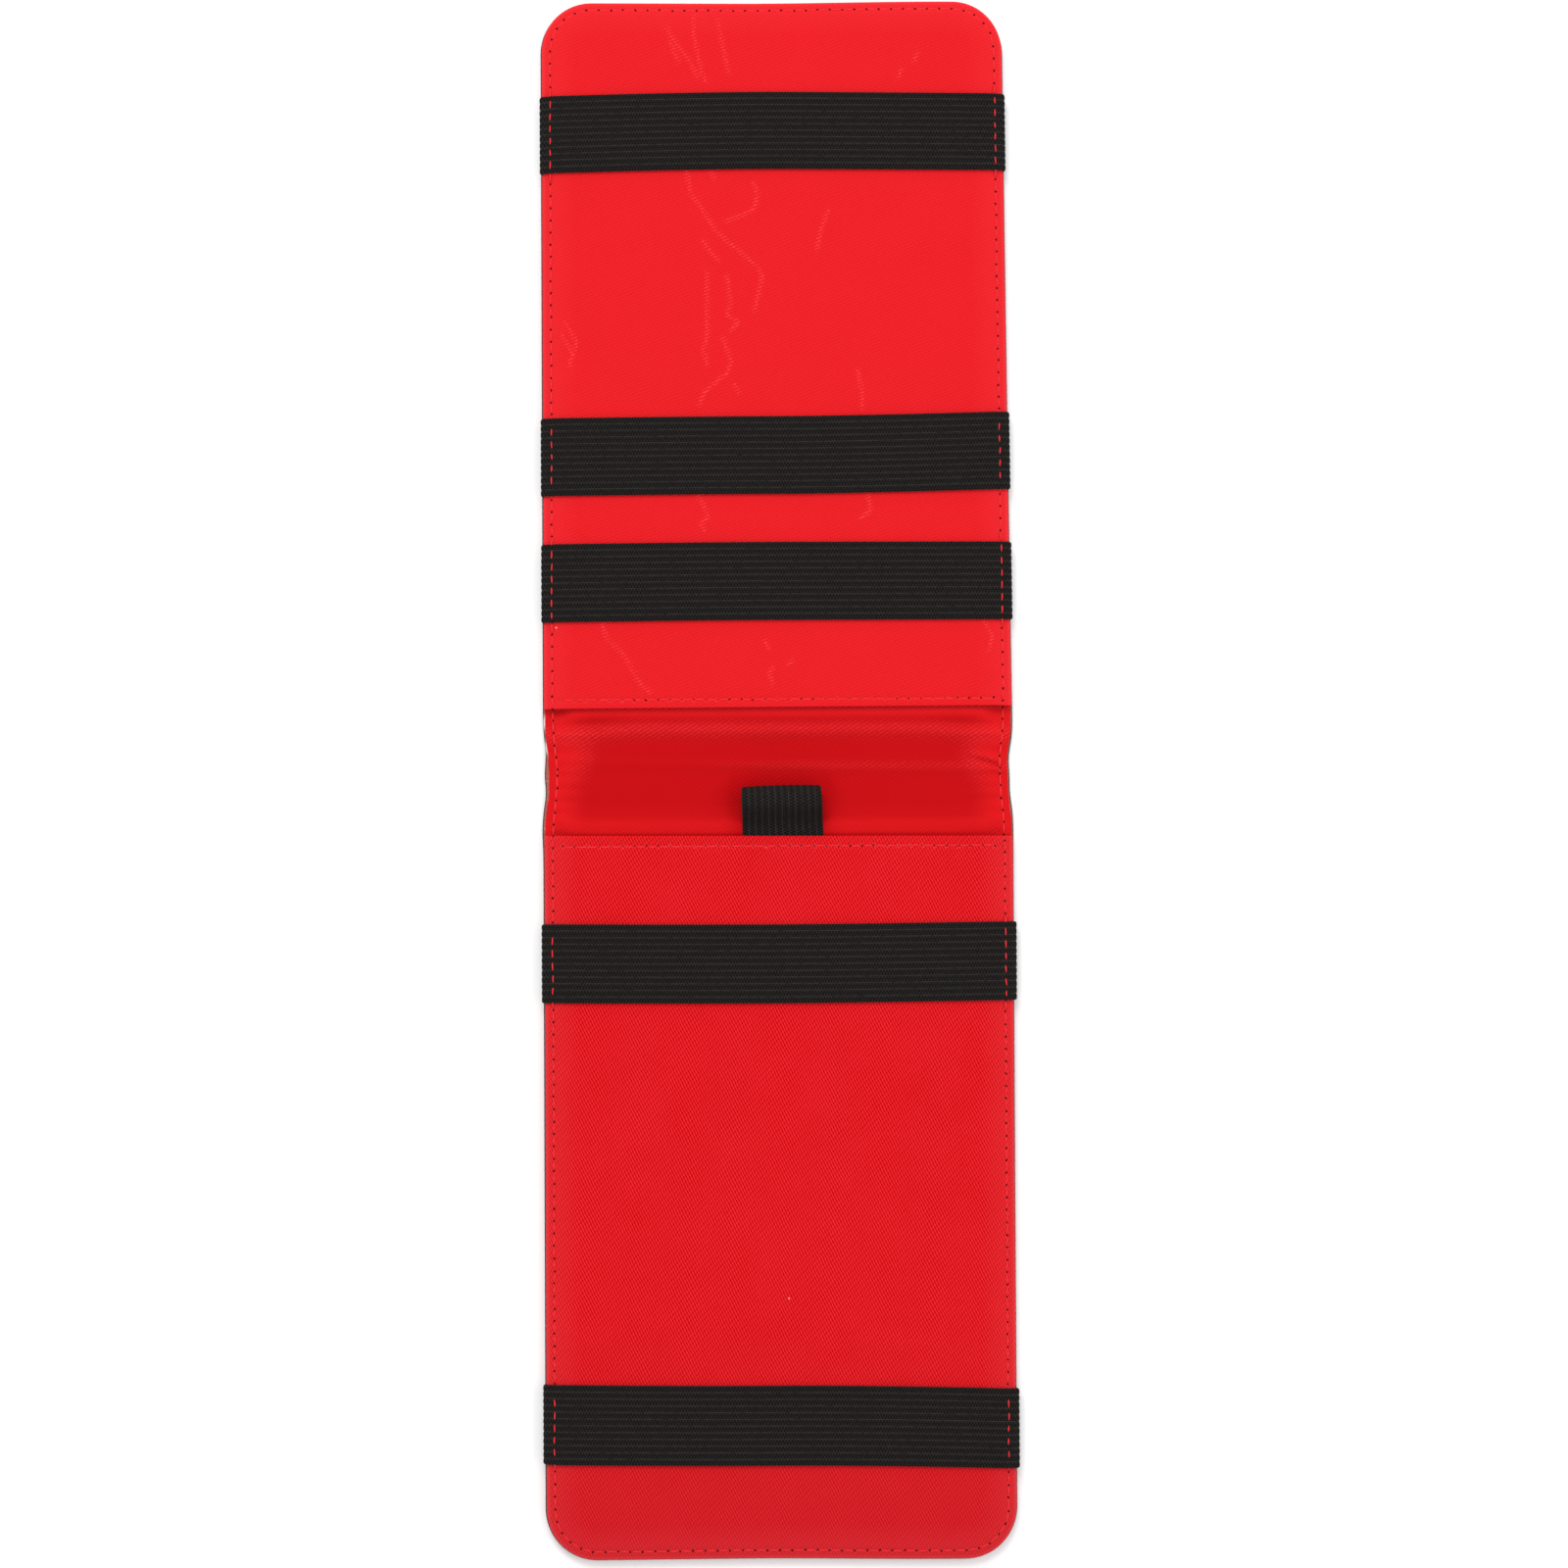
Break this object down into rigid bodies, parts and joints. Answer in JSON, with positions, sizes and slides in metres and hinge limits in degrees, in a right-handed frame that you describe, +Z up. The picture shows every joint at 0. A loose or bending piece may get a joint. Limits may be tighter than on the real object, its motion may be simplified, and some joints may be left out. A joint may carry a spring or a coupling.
{
  "type": "bifold organizer wallet",
  "caption": "Fold-open organizer wallet with stiff covers, slip pockets facing a soft spine, elastic retaining bands and a pen loop, shown opened flat.",
  "frame": {"origin": "under the middle of the spine, at the height of the outer skin's underside, where the opened wallet rests", "axes": "+X across the covers to the right, +Y along the opened wallet towards the upper cover, +Z up out of the lining"},
  "size_m": [0.119, 0.3934, 0.0086],
  "materials": {
    "leatherette": "satin",
    "grey_board": "matte",
    "lining_cloth": "satin",
    "pocket_cloth": "satin",
    "pocket_card": "matte",
    "red_thread": "satin",
    "black_elastic": "matte",
    "black_thread": "satin"
  },
  "bodies": {
    "lower_cover": {"lower_outer_skin": "leatherette", "lower_stiffener_board": "grey_board", "lower_base_lining": "lining_cloth", "lower_pocket_card": "pocket_card", "lower_pocket_cloth": "pocket_cloth", "lower_perimeter_thread": "red_thread", "lower_hem_thread": "red_thread", "lower_spine_band_left_end": "black_elastic", "lower_spine_band_right_end": "black_elastic", "lower_end_band_left_end": "black_elastic", "lower_end_band_right_end": "black_elastic", "pen_loop_tail": "black_elastic"},
    "spine": {"spine_outer_skin": "leatherette", "spine_lining": "lining_cloth", "spine_left_thread": "red_thread", "spine_right_thread": "red_thread", "pen_loop": "black_elastic", "pen_loop_tack": "black_thread"},
    "upper_cover": {"upper_outer_skin": "leatherette", "upper_stiffener_board": "grey_board", "upper_base_lining": "lining_cloth", "upper_pocket_card": "pocket_card", "upper_pocket_cloth": "pocket_cloth", "upper_perimeter_thread": "red_thread", "upper_hem_thread": "red_thread", "upper_end_band_left_end": "black_elastic", "upper_end_band_right_end": "black_elastic", "upper_middle_band_left_end": "black_elastic", "upper_middle_band_right_end": "black_elastic", "upper_spine_band_left_end": "black_elastic", "upper_spine_band_right_end": "black_elastic"},
    "upper_end_band": {"upper_end_band_span": "black_elastic"},
    "upper_middle_band": {"upper_middle_band_span": "black_elastic"},
    "upper_spine_band": {"upper_spine_band_span": "black_elastic"},
    "lower_spine_band": {"lower_spine_band_span": "black_elastic"},
    "lower_end_band": {"lower_end_band_span": "black_elastic"}
  },
  "joints": [
    {"name": "lower_fold", "type": "hinge", "parent": "lower_cover", "child": "spine", "pos_m": [0, -0.0156, 0.0021], "axis": [1, 0, 0], "range_deg": [0, 90]},
    {"name": "upper_fold", "type": "hinge", "parent": "spine", "child": "upper_cover", "pos_m": [0, 0.0156, 0.0021], "axis": [1, 0, 0], "range_deg": [0, 90]},
    {"name": "upper_end_band_lift", "type": "slide", "parent": "upper_cover", "child": "upper_end_band", "axis": [0, 0, 1], "range_m": [0, 0.008], "stiffness_N_per_m": 200},
    {"name": "upper_middle_band_lift", "type": "slide", "parent": "upper_cover", "child": "upper_middle_band", "axis": [0, 0, 1], "range_m": [0, 0.008], "stiffness_N_per_m": 200},
    {"name": "upper_spine_band_lift", "type": "slide", "parent": "upper_cover", "child": "upper_spine_band", "axis": [0, 0, 1], "range_m": [0, 0.008], "stiffness_N_per_m": 200},
    {"name": "lower_spine_band_lift", "type": "slide", "parent": "lower_cover", "child": "lower_spine_band", "axis": [0, 0, 1], "range_m": [0, 0.008], "stiffness_N_per_m": 200},
    {"name": "lower_end_band_lift", "type": "slide", "parent": "lower_cover", "child": "lower_end_band", "axis": [0, 0, 1], "range_m": [0, 0.008], "stiffness_N_per_m": 200}
  ]
}
